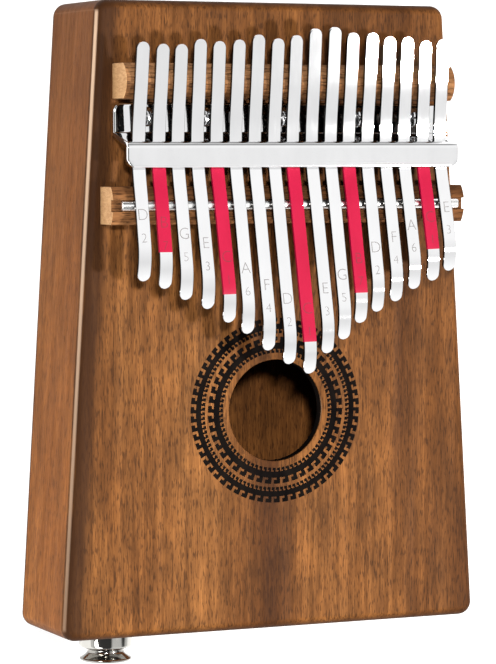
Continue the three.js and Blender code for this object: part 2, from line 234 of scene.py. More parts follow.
class Nodes:
    """Builds one material's node tree."""

    def __init__(self, name):
        self.material = bpy.data.materials.new(name)
        self.material.use_nodes = True
        self.tree = self.material.node_tree
        self.shader = self.tree.nodes["Principled BSDF"]

    def link(self, source, target):
        self.tree.links.new(source, target)

    def set(self, **values):
        for name, value in values.items():
            self.shader.inputs[name.replace("_", " ")].default_value = value

    def place(self, scale, shift=(0, 0, 0)):
        """Object coordinates, scaled and shifted."""
        coordinates = self.tree.nodes.new("ShaderNodeTexCoord")
        mapping = self.tree.nodes.new("ShaderNodeMapping")
        mapping.inputs["Scale"].default_value = scale
        mapping.inputs["Location"].default_value = shift
        self.link(coordinates.outputs["Object"], mapping.inputs["Vector"])
        return mapping.outputs["Vector"]

    def noise(self, vector, detail=3.0, roughness=0.55, distortion=0.0):
        node = self.tree.nodes.new("ShaderNodeTexNoise")
        node.inputs["Scale"].default_value = 1.0
        node.inputs["Detail"].default_value = detail
        node.inputs["Roughness"].default_value = roughness
        node.inputs["Distortion"].default_value = distortion
        self.link(vector, node.inputs["Vector"])
        return node.outputs["Fac"]

    def ramp(self, value, stops):
        """A colour ramp. Each stop is (position, grey) or (position, (r, g, b))."""
        node = self.tree.nodes.new("ShaderNodeValToRGB")
        elements = node.color_ramp.elements
        while len(elements) < len(stops):
            elements.new(0.5)
        for element, (position, colour) in zip(elements, stops):
            rgb = colour if isinstance(colour, tuple) else (colour,) * 3
            element.position = position
            element.color = (*rgb, 1)
        self.link(value, node.inputs["Fac"])
        return node.outputs["Color"]

    def mix(self, factor, first, second, blend="MIX"):
        node = self.tree.nodes.new("ShaderNodeMix")
        node.data_type = "RGBA"
        node.blend_type = blend
        for socket, value in ((0, factor), (6, first), (7, second)):
            if isinstance(value, (int, float)):
                node.inputs[socket].default_value = value
            elif isinstance(value, tuple):
                node.inputs[socket].default_value = (*value, 1)
            else:
                self.link(value, node.inputs[socket])
        return node.outputs[2]

    def math(self, operation, first, second=0.0):
        node = self.tree.nodes.new("ShaderNodeMath")
        node.operation = operation
        for socket, value in enumerate((first, second)):
            if isinstance(value, (int, float)):
                node.inputs[socket].default_value = value
            else:
                self.link(value, node.inputs[socket])
        return node.outputs[0]

    def axes(self, coordinates):
        """The X, Y and Z sockets of the Object or Normal coordinates."""
        split = self.tree.nodes.new("ShaderNodeSeparateXYZ")
        self.link(self.tree.nodes.new("ShaderNodeTexCoord").outputs[coordinates], split.inputs[0])
        return split.outputs

    def normal(self, axis):
        """How far the surface faces along one of the object's axes, either way."""
        return self.math("ABSOLUTE", self.axes("Normal")[axis])

    def facing(self, grain, start, full):
        """How far the surface faces along the grain's axis, as the share by which it is painted darker."""
        return self.math("MULTIPLY", self.ramp(self.normal(grain), [(start, 0.0), (full, 1.0)]), 0.8)

    def painted_edge_highlight(self):
        """The painted highlight line along a rounded long edge, stronger towards the narrow end."""
        window = self.ramp(self.normal("X"), [(0.73, 0.0), (0.84, 1.0), (0.94, 1.0), (0.98, 0.0)])
        level = self.ramp(self.normal("Y"), [(0.06, 1.0), (0.3, 0.0)])
        highlight_share = self.ramp(self.towards_top(), [(0.05, 0.3), (0.95, 1.0)])
        return self.math("MULTIPLY", self.math("MULTIPLY", window, level), highlight_share)

    def towards_top(self):
        """From 0 at the box's wide end to 1 at its narrow end."""
        return self.math("ADD", self.math("MULTIPLY", self.axes("Object")["Y"], 1 / (TOP_Y - BOTTOM_Y)), 0.5)

    def left_edge_distance(self):
        """Distance from the box's left side, across the soundboard."""
        places = self.axes("Object")
        side = self.math("ADD", self.math("MULTIPLY", places["Y"], SLOPE), HALF_WIDTH)
        return self.math("ADD", places["X"], side)

    def bump(self, height, strength, distance):
        node = self.tree.nodes.new("ShaderNodeBump")
        node.inputs["Strength"].default_value = strength
        node.inputs["Distance"].default_value = distance
        self.link(height, node.inputs["Height"])
        self.link(node.outputs["Normal"], self.shader.inputs["Normal"])


GRAIN_X = "X"
GRAIN_Y = "Y"


def wood(name, dark, mid, light, grain=GRAIN_Y, figure=1.0, pores=1.0, gloss=0.6, seed=0.0, streak=False,
         painted_shade_share=0.0):
    """Straight-grained wood with short open pores. A plank with a streak has a dark band down its left edge,
    partly darker wood and partly a painted dark reflection on the rounded edge; a plank with a share of
    painted shade darkens by that share towards the narrow end."""
    n = Nodes(name)

    def along(across, lengthwise, shift):
        scale = (lengthwise, across, across) if grain == GRAIN_X else (across, lengthwise, across)
        return n.place(scale, (seed + shift, shift * 0.7, shift * 1.3))

    bands = n.noise(along(34, 3, 0), detail=4, distortion=0.5)
    mottle = n.noise(along(150, 55, 11), detail=4, roughness=0.6)
    streaks = n.noise(along(520, 14, 3), detail=5, roughness=0.6)
    fibres = n.noise(along(2600, 160, 5), detail=3)
    cells = n.noise(along(2300, 330, 9), detail=2, roughness=0.5)
    long_cells = n.noise(along(1500, 120, 15), detail=3, roughness=0.6)
    base = n.ramp(bands, [(0.3, dark), (0.5, mid), (0.7, light)])
    streaked = n.mix(n.math("MULTIPLY", n.ramp(streaks, [(0.4, 1.0), (0.6, 0.0)]), 0.5 * figure), base, dark)
    mottled = n.mix(0.75 * figure, streaked, n.ramp(mottle, [(0.3, 0.28), (0.7, 0.72)]), "OVERLAY")
    fibred = n.mix(0.5, mottled, n.ramp(fibres, [(0.3, 0.2), (0.7, 0.8)]), "SOFT_LIGHT")
    fine = n.ramp(cells, [(0.36, 1.0), (0.46, 0.0)])
    coarse = n.ramp(long_cells, [(0.33, 1.0), (0.4, 0.0)])
    pore = n.math("MAXIMUM", fine, coarse)
    colour = n.mix(n.math("MULTIPLY", pore, 0.62 * pores), fibred, tuple(0.35 * part for part in dark))
    # dark band down the left edge: partly darker wood, partly a painted dark reflection on the rounded edge
    if streak:
        wander = n.math("MULTIPLY", n.noise(along(40, 30, 20)), 3 * mm)
        inward = n.math("ADD", n.left_edge_distance(), wander)
        band = n.ramp(n.math("MULTIPLY", inward, 100), [(0.1, 0.0), (0.25, 0.95), (0.6, 0.8), (0.95, 0.0)])
        colour = n.mix(band, colour, tuple(0.5 * part for part in dark))
    # painted shade: darker towards the narrow end, where less lamp light reaches
    if painted_shade_share:
        colour = n.mix(n.math("MULTIPLY", n.towards_top(), painted_shade_share), colour, tuple(0.7 * part for part in dark))
    colour = n.mix(n.facing(grain, 0.25, 0.8), colour, tuple(0.6 * part for part in dark))
    # painted highlight: the rounded long edges are lightened where a lamp's reflection would lie
    colour = n.mix(n.painted_edge_highlight(), colour, (0.5, 0.34, 0.23))
    n.link(colour, n.shader.inputs["Base Color"])
    height = n.math("SUBTRACT", n.math("MULTIPLY", fibres, 0.4), n.math("MULTIPLY", pore, 0.8))
    n.bump(height, 0.3, 0.05 * mm)
    n.link(n.ramp(streaks, [(0.2, gloss + 0.1), (0.8, gloss - 0.06)]), n.shader.inputs["Roughness"])
    n.set(Specular_IOR_Level=0.08)
    return n.material


def end_grain(name, dark, light):
    """Sawn end grain: fine dots and curved rings."""
    n = Nodes(name)
    rings = n.noise(n.place((60, 900, 260)), detail=3, distortion=1.5)
    dots = n.noise(n.place((3000, 3000, 3000)), detail=2)
    base = n.ramp(rings, [(0.3, dark), (0.65, light)])
    colour = n.mix(n.math("MULTIPLY", n.ramp(dots, [(0.35, 1.0), (0.5, 0.0)]), 0.45), base, dark)
    n.link(colour, n.shader.inputs["Base Color"])
    n.bump(dots, 0.4, 0.05 * mm)
    n.set(Roughness=0.75)
    return n.material


def plated(name, colour, roughness, smear=0.03, scratch=(900, 60, 900), painted_reflection_and_shade=None):
    """Polished plate with faint smears and rubbing marks. A strip given dark faces has its sides painted
    dark, a painted reflection of the dark board beside them, and its underside painted near black as painted
    shade, in the colours given."""
    n = Nodes(name)
    smears = n.noise(n.place((120, 60, 120)), detail=4)
    marks = n.noise(n.place(scratch), detail=2)
    lighter = tuple(min(1, part * 1.03) for part in colour)
    darker = tuple(part * 0.97 for part in colour)
    tone = n.ramp(smears, [(0.3, darker), (0.7, lighter)])
    # painted reflection: the sides are painted dark; painted shade: the underside is painted near black
    if painted_reflection_and_shade:
        sides, underside = painted_reflection_and_shade
        tone = n.mix(n.ramp(n.normal("X"), [(0.5, 0.0), (0.8, 1.0)]), tone, sides)
        down = n.math("MULTIPLY", n.axes("Normal")["Z"], -1)
        tone = n.mix(n.ramp(down, [(0.3, 0.0), (0.6, 1.0)]), tone, underside)
    n.link(tone, n.shader.inputs["Base Color"])
    n.link(n.ramp(marks, [(0.3, roughness), (0.7, roughness + smear)]), n.shader.inputs["Roughness"])
    n.bump(marks, 0.04, 0.01 * mm)
    n.set(Metallic=1.0)
    return n.material


def painted(name, dark, light, roughness, gloss=0.3):
    n = Nodes(name)
    cloud = n.noise(n.place((200, 90, 200)), detail=4)
    n.link(n.ramp(cloud, [(0.3, dark), (0.7, light)]), n.shader.inputs["Base Color"])
    grit = n.noise(n.place((2500, 2500, 2500)), detail=2)
    n.link(n.ramp(grit, [(0.3, roughness), (0.7, roughness + 0.08)]), n.shader.inputs["Roughness"])
    n.bump(grit, 0.1, 0.02 * mm)
    n.set(Specular_IOR_Level=gloss)
    return n.material


BOARD_TONES = (0.052, 0.0168, 0.0034), (0.153, 0.0555, 0.0125), (0.214, 0.085, 0.022)
SIDE_TONES = (0.125, 0.038, 0.007), (0.26, 0.088, 0.017), (0.33, 0.122, 0.028)
board_wood = wood("soundboard_wood", *BOARD_TONES, streak=True, painted_shade_share=0.2)
back_wood = wood("back_wood", *BOARD_TONES, seed=9.0)
side_wood = wood("side_wood", *SIDE_TONES, figure=0.8, pores=0.8, seed=4.0, painted_shade_share=0.75)
rail_wood = wood("rail_wood", *SIDE_TONES, grain=GRAIN_X, figure=0.6, pores=0.5, seed=7.0)
bridge_wood = wood("bridge_wood", (0.072, 0.026, 0.008), (0.2, 0.085, 0.03), (0.3, 0.15, 0.065),
                   grain=GRAIN_X, figure=1.2, pores=1.2, gloss=0.7, seed=2.0)
bridge_end = end_grain("bridge_end_grain", (0.33, 0.16, 0.058), (0.51, 0.29, 0.125))
plain_wood = wood("plain_wood", (0.38, 0.22, 0.10), (0.55, 0.36, 0.18), (0.66, 0.46, 0.26),
                  grain=GRAIN_X, figure=0.5, pores=0.3, gloss=0.7, seed=6.0)
burnt_and_shade = painted("burnt_rosette", (0.002, 0.0015, 0.0015), (0.007, 0.005, 0.004), 0.75, 0.02)
chrome = plated("chrome", (0.86, 0.86, 0.865), 0.04, 0.015)
# the tines' sides carry a painted dark reflection and their undersides painted shade
tine_steel = plated("tine_steel", (0.90, 0.90, 0.905), 0.02, 0.012, (1600, 25, 1600),
                    painted_reflection_and_shade=((0.12, 0.115, 0.11), (0.05, 0.045, 0.04)))
nickel = plated("nickel", (0.48, 0.47, 0.44), 0.07)
# nickel painted darker: a painted dark reflection on the strap button's flange
shaded_nickel = plated("shaded_nickel", (0.30, 0.29, 0.27), 0.1)
rod_steel = plated("rod_steel", (0.92, 0.915, 0.90), 0.24)
screw_steel = plated("screw_steel", (0.78, 0.78, 0.79), 0.12)
red_lacquer = painted("red_lacquer", (0.30, 0.003, 0.026), (0.34, 0.0045, 0.032), 0.35, 0.12)
engraving_in_red = painted("engraving_in_red", (0.15, 0.002, 0.012), (0.2, 0.003, 0.018), 0.5)
engraving = painted("engraving", (0.12, 0.11, 0.11), (0.22, 0.21, 0.21), 0.5)
brass = plated("brass", (0.68, 0.47, 0.18), 0.25)
ceramic = painted("ceramic", (0.62, 0.60, 0.52), (0.8, 0.78, 0.7), 0.5)
black_plastic = painted("black_plastic", (0.012, 0.012, 0.013), (0.03, 0.03, 0.032), 0.45)


# ---------------------------------------------------------------- mesh helpers

def mesh_object(name, vertices, faces, materials, body=BODY, smooth=35.0):
    mesh = bpy.data.meshes.new(name)
    mesh.from_pydata([tuple(v) for v in vertices], [], faces)
    for material in materials:
        mesh.materials.append(material)
    shaped = bmesh.new()
    shaped.from_mesh(mesh)
    bmesh.ops.recalc_face_normals(shaped, faces=shaped.faces)
    shaped.to_mesh(mesh)
    shaped.free()
    mesh.shade_smooth()
    mesh.set_sharp_from_angle(angle=math.radians(smooth))
    piece = bpy.data.objects.new(name, mesh)
    bpy.context.scene.collection.objects.link(piece)
    if body:
        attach(piece, body)
    return piece


def skin(rings, closed):
    """Vertices and faces of a surface through rings of equal length. A closed one joins the last ring to the
    first, and an open one gets an end cap each."""
    count = len(rings[0])
    vertices = [point for ring in rings for point in ring]
    faces = []
    for r in range(len(rings) if closed else len(rings) - 1):
        here = r * count
        there = (r + 1) % len(rings) * count
        for i in range(count):
            j = (i + 1) % count
            faces.append((here + i, here + j, there + j, there + i))
    if not closed:
        faces.append(tuple(reversed(range(count))))
        faces.append(tuple(range((len(rings) - 1) * count, len(rings) * count)))
    return vertices, faces


def soften(piece, width, segments=3, angle=40.0):
    """Rounds a piece's edges with a bevel, and keeps the result in its mesh."""
    bevel = piece.modifiers.new("bevel", "BEVEL")
    bevel.width = width
    bevel.segments = segments
    bevel.limit_method = "ANGLE"
    bevel.angle_limit = math.radians(angle)
    settle(piece)
    piece.data.set_sharp_from_angle(angle=math.radians(angle))


def settle(piece):
    """Puts the result of a piece's modifiers into its mesh."""
    shaped = bpy.data.meshes.new_from_object(piece.evaluated_get(bpy.context.evaluated_depsgraph_get()))
    piece.modifiers.clear()
    piece.data = shaped


def arc(centre, radius, first, last, steps):
    """Points on an arc between two angles in degrees, both ends included."""
    points = []
    for step in range(steps + 1):
        angle = math.radians(first + (last - first) * step / steps)
        points.append((centre[0] + radius * math.cos(angle), centre[1] + radius * math.sin(angle)))
    return points


def turned(name, profile, place, material, steps=64):
    """A closed profile of (radius, height) turned about the jack's axis, whose height runs along -Y."""
    rings = []
    for radius, height in profile:
        rings.append([
            (place[0] + radius * math.cos(2 * math.pi * i / steps), place[1] - height,
             place[2] + radius * math.sin(2 * math.pi * i / steps))
            for i in range(steps)
        ])
    vertices, faces = skin(rings, closed=True)
    return mesh_object(name, vertices, faces, [material])


# ---------------------------------------------------------------- the box

def outline(inset, per_corner=8, per_side=28):
    """The plan of the box drawn in by `inset`, as a ring of points that starts at the bottom left corner."""
    radius = max(CORNER_ROUND - inset, 0.3 * mm)
    drawn_in = inset + radius

    def middle(sign, end):
        y = BOTTOM_Y + drawn_in if end < 0 else TOP_Y - drawn_in
        x = HALF_WIDTH + SLOPE * y - drawn_in * math.hypot(1, SLOPE)
        return sign * x, y

    corners = [
        arc(middle(-1, -1), radius, 180 - LEAN, 270, per_corner),
        arc(middle(1, -1), radius, 270, 360 + LEAN, per_corner),
        arc(middle(1, 1), radius, LEAN, 90, per_corner),
        arc(middle(-1, 1), radius, 90, 180 - LEAN, per_corner),
    ]
    points = []
    for i, corner in enumerate(corners):
        points += corner
        start = Vector(corner[-1])
        end = Vector(corners[(i + 1) % 4][0])
        points += [tuple(start.lerp(end, step / per_side)) for step in range(1, per_side)]
    return points


def at_height(points, z):
    return [(x, y, z) for x, y in points]


def rounded_levels(straight, outer, direction):
    """Rings from the straight wall over the quarter-round edge to the face at height `outer`."""
    rings = [at_height(outline(0), straight)]
    for step in range(1, 11):
        angle = math.pi / 2 * step / 10
        inset = EDGE_ROUND * (1 - math.cos(angle))
        z = outer - direction * EDGE_ROUND * (1 - math.sin(angle))
        rings.append(at_height(outline(inset), z))
    return rings


def make_soundboard():
    rings = rounded_levels(board_low.z, FACE, 1)
    plan = outline(EDGE_ROUND)

    def hole(radius, z):
        ring = []
        for x, y in plan:
            angle = math.atan2(y - HOLE_Y, x)
            ring.append((radius * math.cos(angle), HOLE_Y + radius * math.sin(angle), z))
        return ring

    ease = 0.35 * mm
    rings.append(hole(HOLE_RADIUS + 10 * mm, FACE))
    rings.append(hole(HOLE_RADIUS + ease, FACE))
    rings.append(hole(HOLE_RADIUS + ease * 0.3, FACE - ease * 0.3))
    rings.append(hole(HOLE_RADIUS, FACE - ease))
    rings.append(hole(HOLE_RADIUS, board_low.z))
    vertices, faces = skin(rings, closed=True)
    piece = mesh_object("soundboard_plate", vertices, faces, [board_wood, burnt_and_shade])
    # the hole's wall takes the burnt finish: partly laser burn, partly painted shade inside the hole
    for polygon in piece.data.polygons:
        inside = math.hypot(polygon.center.x, polygon.center.y - HOLE_Y) < HOLE_RADIUS + 0.1 * mm
        if inside and polygon.center.z < FACE - 0.5 * mm:
            polygon.material_index = 1
    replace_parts(piece, "soundboard")


def make_back():
    rings = rounded_levels(back_high.z, back_low.z, -1)
    vertices, faces = skin(rings, closed=False)
    piece = mesh_object("back_board", vertices, faces, [back_wood])
    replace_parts(piece, "back_plate")


def make_side(name, sign, node):
    """A side: the box's outline from corner to corner, closed by the straight inner face."""
    low = back_high.z + SEAM
    high = board_low.z - SEAM
    per_corner = 8
    per_side = 28
    block = per_corner + per_side
    ring = outline(0, per_corner, per_side)
    if sign > 0:
        outer = ring[block:2 * block + per_corner + 1]
    else:
        outer = ring[3 * block:] + ring[:per_corner + 1]
    inner_half = HALF_WIDTH - SIDE_THICKNESS * math.hypot(1, SLOPE)
    inner = [(sign * (inner_half + SLOPE * y), y) for y in (outer[-1][1], outer[0][1])]
    plan = [point for point in outer if abs(point[0]) >= inner_half + SLOPE * point[1]] + inner
    vertices, faces = skin([at_height(plan, low), at_height(plan, high)], closed=False)
    piece = mesh_object(name, vertices, faces, [side_wood])
    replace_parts(piece, node)


def make_rail(name, end, node):
    low = back_high.z + SEAM
    high = board_low.z - SEAM
    outer_y = BOTTOM_Y if end < 0 else TOP_Y
    inner_y = outer_y - end * RAIL_THICKNESS
    half = [HALF_WIDTH + SLOPE * y - SIDE_THICKNESS * math.hypot(1, SLOPE) - SEAM for y in (outer_y, inner_y)]
    steps = 40
    plan = [(half[0] * (2 * i / steps - 1), outer_y) for i in range(steps + 1)]
    plan += [(half[1], inner_y), (-half[1], inner_y)]
    vertices, faces = skin([at_height(plan, low), at_height(plan, high)], closed=False)
    piece = mesh_object(name, vertices, faces, [rail_wood])
    if end < 0:
        drill(piece, (JACK_X, outer_y, JACK_Z), 4.3 * mm)
    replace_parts(piece, node)


def drill(piece, place, radius):
    """Cuts a round hole along Y."""
    bpy.ops.mesh.primitive_cylinder_add(vertices=48, radius=radius, depth=60 * mm, location=place,
                                        rotation=(math.pi / 2, 0, 0))
    cutter = bpy.context.object
    boolean = piece.modifiers.new("hole", "BOOLEAN")
    boolean.operation = "DIFFERENCE"
    boolean.solver = "EXACT"
    boolean.object = cutter
    settle(piece)
    bpy.data.objects.remove(cutter)


# ---------------------------------------------------------------- the rosette

def make_rosette():
    low = FACE - 0.02 * mm
    high = FACE + 0.03 * mm
    vertices = []
    faces = []

    def add(rings, closed):
        more_vertices, more_faces = skin(rings, closed)
        offset = len(vertices)
        vertices.extend(more_vertices)
        faces.extend(tuple(offset + i for i in face) for face in more_faces)

    def polar(turn, share, z):
        angle = 2 * math.pi * turn
        radius = ROSETTE_RADIUS * share
        return radius * math.cos(angle), HOLE_Y + radius * math.sin(angle), z

    def band(inner, outer):
        steps = 192
        corners = ((inner, low), (outer, low), (outer, high), (inner, high))
        add([[polar(i / steps, share, z) for i in range(steps)] for share, z in corners], True)

    def patch(turn, pitch, corners):
        """A flat shape of (part of a pitch, share of the radius) corners."""
        points = []
        for (u0, s0), (u1, s1) in zip(corners, corners[1:] + corners[:1]):
            steps = 3 if abs(u1 - u0) > 0.3 and s0 == s1 else 1
            points += [(u0 + (u1 - u0) * k / steps, s0) if steps > 1 else (u0, s0) for k in range(steps)]
        ring = [[polar(turn + u * pitch, share, z) for u, share in points] for z in (low, high)]
        add(ring, False)

    def hooks(count, foot, tip):
        """A stem from the band with a cap that reaches back over a slot."""
        slot = foot + (tip - foot) * 0.36
        shape = [(0.6, foot), (1, foot), (1, tip), (0.3, tip), (0.3, slot), (0.6, slot)]
        for i in range(count):
            patch(i / count, 1 / count, shape)

    band(0.877, 0.936)
    hooks(62, 0.934, 1.0)
    hooks(107, 0.879, 0.833)
    band(0.664, 0.731)
    hooks(46, 0.729, 0.797)
    hooks(76, 0.666, 0.622)
    piece = mesh_object("rosette", vertices, faces, [burnt_and_shade])
    piece.data.shade_flat()


# ---------------------------------------------------------------- bridges and rod

def run_along_x(name, section, low_x, high_x, materials, steps=1):
    """A section in (y, z) run along X. The second material, if there is one, is on the ends."""
    rings = []
    for i in range(steps + 1):
        x = low_x + (high_x - low_x) * i / steps
        rings.append([(x, y, z) for y, z in section])
    vertices, faces = skin(rings, closed=False)
    piece = mesh_object(name, vertices, faces, materials)
    if len(materials) > 1:
        for polygon in piece.data.polygons:
            if abs(polygon.normal.x) > 0.9:
                polygon.material_index = 1
    return piece


def crown(width, edge, height, ease, steps):
    """Points over a bar's top from its right side to its left: eased shoulders and one shallow arc."""
    rise = height - edge
    radius = (width * width / 4 + rise * rise) / (2 * rise)
    reach = math.degrees(math.asin(width / 2 / radius))
    top = arc((0, height - radius), radius, 90 - reach, 90 + reach, steps)
    return [(width / 2, edge - ease), *top, (-width / 2, edge - ease)]


def make_bridges():
    low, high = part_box("back_bridge")
    middle = (low.y + high.y) / 2
    width = high.y - low.y
    top = crown(width, 8.2 * mm, high.z - FACE, 0.4 * mm, 20)
    section = [(-width / 2, 0.02 * mm), (width / 2, 0.02 * mm), *top]
    placed = [(middle + y, FACE + z) for y, z in section]
    back = run_along_x("tail_bridge", placed, low.x, high.x, [bridge_wood, bridge_end])
    soften(back, 0.3 * mm)
    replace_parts(back, "back_bridge")

    low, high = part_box("front_bridge")
    width = high.y - low.y
    groove = ROD_RADIUS + 0.15 * mm
    floor = rod_low.z - FACE - 0.1 * mm
    top = crown(width, 8 * mm, 10 * mm, 0.4 * mm, 24)
    right = [point for point in top if point[0] > groove + 0.2 * mm]
    left = [point for point in top if point[0] < -groove - 0.2 * mm]
    edge = 9.95 * mm
    section = [(-width / 2, 0.02 * mm), (width / 2, 0.02 * mm), *right, (groove, edge), (groove, floor),
               (-groove, floor), (-groove, edge), *left]
    placed = [(ROD_Y + y, FACE + z) for y, z in section]
    front = run_along_x("saddle_bridge", placed, low.x, high.x, [bridge_wood, bridge_end])
    soften(front, 0.25 * mm)
    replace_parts(front, "front_bridge")


def make_rod():
    ease = 0.4 * mm
    middle_z = (rod_low.z + rod_high.z) / 2
    rings = []
    for x, radius in ((rod_low.x, ROD_RADIUS - ease), (rod_low.x + ease * 0.3, ROD_RADIUS - ease * 0.3),
                      (rod_low.x + ease, ROD_RADIUS), (rod_high.x - ease, ROD_RADIUS),
                      (rod_high.x - ease * 0.3, ROD_RADIUS - ease * 0.3), (rod_high.x, ROD_RADIUS - ease)):
        rings.append([(x, y, z) for y, z in arc((ROD_Y, middle_z), radius, 0, 350, 35)])
    vertices, faces = skin(rings, closed=False)
    piece = mesh_object("saddle_wire", vertices, faces, [rod_steel])
    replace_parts(piece, "saddle_rod")


# ---------------------------------------------------------------- the bracket and its screws

def bracket_path():
    """The sheet's middle line in (y, z above the board), from the front edge of the bar to the rear edge of
    the flange."""
    flange = 0.3 * mm + SHEET / 2
    bar = BAR_TOP - SHEET / 2
    bend = 0.8 * mm
    head = (WEB_HEAD_Y, bar)
    foot = (WEB_FOOT_Y, flange)
    start = Vector((WEB_HEAD_Y + bend * 0.3, bar - bend))
    end = Vector((WEB_FOOT_Y - bend * 0.3, flange + bend))

    def curve(first, control, last, steps=8):
        first, control, last = Vector(first), Vector(control), Vector(last)
        points = []
        for i in range(steps + 1):
            t = i / steps
            points.append(first * (1 - t) ** 2 + control * 2 * t * (1 - t) + last * t ** 2)
        return points

    def straight(first, last, steps):
        return [Vector(first).lerp(Vector(last), i / steps) for i in range(steps)]

    bar_end = (WEB_HEAD_Y - bend, bar)
    flange_start = (WEB_FOOT_Y + bend, flange)
    points = straight((BAR_FRONT_Y, bar), bar_end, 10)
    points += curve(bar_end, head, start)[:-1]
    points += straight(start, end, 8)
    points += curve(end, foot, flange_start)[:-1]
    points += straight(flange_start, (FLANGE_REAR_Y, flange), 12)
    points.append(Vector((FLANGE_REAR_Y, flange)))
    return points


def make_bracket():
    """One sheet bent along its path, with round corners, eased edges and a slot for each tine."""
    path = bracket_path()
    total = sum((b - a).length for a, b in zip(path, path[1:]))
    ease = 0.35 * mm
    eased = [0, 0.03 * mm, 0.1 * mm, 0.2 * mm, ease]
    steps = round(total / (0.35 * mm))
    stations = eased + [ease + (total - 2 * ease) * i / steps for i in range(1, steps)]
    stations += [total - s for s in reversed(eased)]
    low_x, high_x = bracket_low.x, bracket_high.x
    corner = 2.6 * mm
    half_slot = TINE_WIDTH / 2 + SLOT_CLEARANCE
    slot_edges = []
    for i in range(len(SEMITONES)):
        x = tine_x(i) - (WEB_HEAD_Y - ROD_Y) * math.tan(lean(i))
        slot_edges += [x - half_slot, x + half_slot]

    def row(s):
        """The x of every column at one station, drawn in where the corners are round."""
        short = max(corner - s, corner - (total - s), 0)
        pull = corner - math.sqrt(max(corner ** 2 - short ** 2, 0))
        left, right = low_x + pull, high_x - pull
        crowd = 0.1 * mm
        inner = []
        for k, x in enumerate(slot_edges):
            x = max(x, left + ease + crowd * (k + 1))
            inner.append(min(x, right - ease - crowd * (len(slot_edges) - k)))
        return [left + d for d in eased] + inner + [right - d for d in reversed(eased)]

    def depth(x, s):
        """How far a point of the flat sheet is inside its rounded outline."""
        across = abs(x - (low_x + high_x) / 2) - ((high_x - low_x) / 2 - corner)
        along = abs(s - total / 2) - (total / 2 - corner)
        if across > 0 and along > 0:
            return corner - math.hypot(across, along)
        return corner - max(across, along)

    def eased_half(inside):
        short = ease - min(max(inside, 0), ease)
        return SHEET / 2 - ease + math.sqrt(ease ** 2 - short ** 2)

    upper = []
    lower = []
    open_rows = []
    for s, (point, direction) in zip(stations, resample(path, stations)):
        normal = Vector((-direction.y, direction.x))
        press = PRESS * smoothstep((7 * mm - s) / (2 * mm))
        open_rows.append(8.4 * mm < point.y < BAR_TOP - SHEET and point.x > WEB_HEAD_Y - 1.5 * mm)
        xs = row(s)
        for x in xs:
            half = eased_half(depth(x, s))
            top = point + normal * half
            bottom = point - normal * (half + press)
            upper.append((x, top.x, FACE + top.y))
            lower.append((x, bottom.x, FACE + bottom.y))
    width = len(xs)
    first_slot = len(eased)
    cells = set()
    for r in range(len(stations) - 1):
        for c in range(width - 1):
            between = c - first_slot
            in_slot = between >= 0 and between % 2 == 0 and between < len(slot_edges)
            if not (in_slot and open_rows[r] and open_rows[r + 1]):
                cells.add((r, c))
    offset = len(upper)
    faces = []
    for r, c in sorted(cells):
        ring = [r * width + c, r * width + c + 1, (r + 1) * width + c + 1, (r + 1) * width + c]
        faces.append(tuple(ring))
        faces.append(tuple(offset + i for i in reversed(ring)))
        beside = [(r - 1, c), (r, c + 1), (r + 1, c), (r, c - 1)]
        for side, (i, j) in zip(beside, zip(ring, ring[1:] + ring[:1])):
            if side not in cells:
                faces.append((j, i, offset + i, offset + j))
    piece = mesh_object("tine_clamp", upper + lower, faces, [chrome])
    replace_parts(piece, "tine_bracket")


def smoothstep(t):
    t = min(max(t, 0), 1)
    return t * t * (3 - 2 * t)


def make_screws():
    """Pan heads with a cross recess, on their shanks."""
    for i, x in enumerate(SCREW_PLACES):
        node = f"bracket_screw_{i + 1}"
        low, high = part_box(node)
        radius = (high.x - low.x) / 2
        seat = high.z - SCREW_HEAD_HEIGHT
        profile = [(1.3 * mm, low.z + 1 * mm), (1.3 * mm, seat), (radius - 0.15 * mm, seat),
                   (radius, seat + 0.15 * mm), (radius, seat + 0.6 * mm), (radius * 0.93, seat + 1.1 * mm),
                   (radius * 0.72, seat + 1.55 * mm), (radius * 0.4, seat + 1.83 * mm), (0.02 * mm, high.z)]
        steps = 40
        rings = []
        for r, z in profile:
            rings.append([(PLAY_X + x + r * math.cos(2 * math.pi * k / steps),
                           SCREW_Y + r * math.sin(2 * math.pi * k / steps), z) for k in range(steps)])
        vertices, faces = skin(rings, closed=False)
        piece = mesh_object(f"pan_screw_{i + 1}", vertices, faces, [screw_steel], body=None)
        turn = math.radians(17 + 43 * i)
        for quarter in (0, 1):
            bpy.ops.mesh.primitive_cube_add(size=1, location=(PLAY_X + x, SCREW_Y, high.z))
            cutter = bpy.context.object
            cutter.scale = (2.9 * mm, 0.6 * mm, 1.7 * mm)
            cutter.rotation_euler = (0, 0, turn + quarter * math.pi / 2)
            boolean = piece.modifiers.new("recess", "BOOLEAN")
            boolean.operation = "DIFFERENCE"
            boolean.solver = "EXACT"
            boolean.object = cutter
            settle(piece)
            bpy.data.objects.remove(cutter)
        piece.data.set_sharp_from_angle(angle=math.radians(35))
        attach(piece, BODY)
        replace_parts(piece, node)


# ---------------------------------------------------------------- the tines

def tine_x(index):
    return PLAY_X + PLACES[index] * mm


def lean(index):
    return math.radians(LEANS[index])


def reach(index):
    return (LONGEST_REACH * 2 ** (-SEMITONES[index] / 24) - CLAMP_SHARE) * mm


def bezier(a, b, c, d, steps):
    points = []
    for i in range(steps):
        t = i / steps
        u = 1 - t
        points.append(a * u ** 3 + b * 3 * u * u * t + c * 3 * u * t * t + d * t ** 3)
    return points


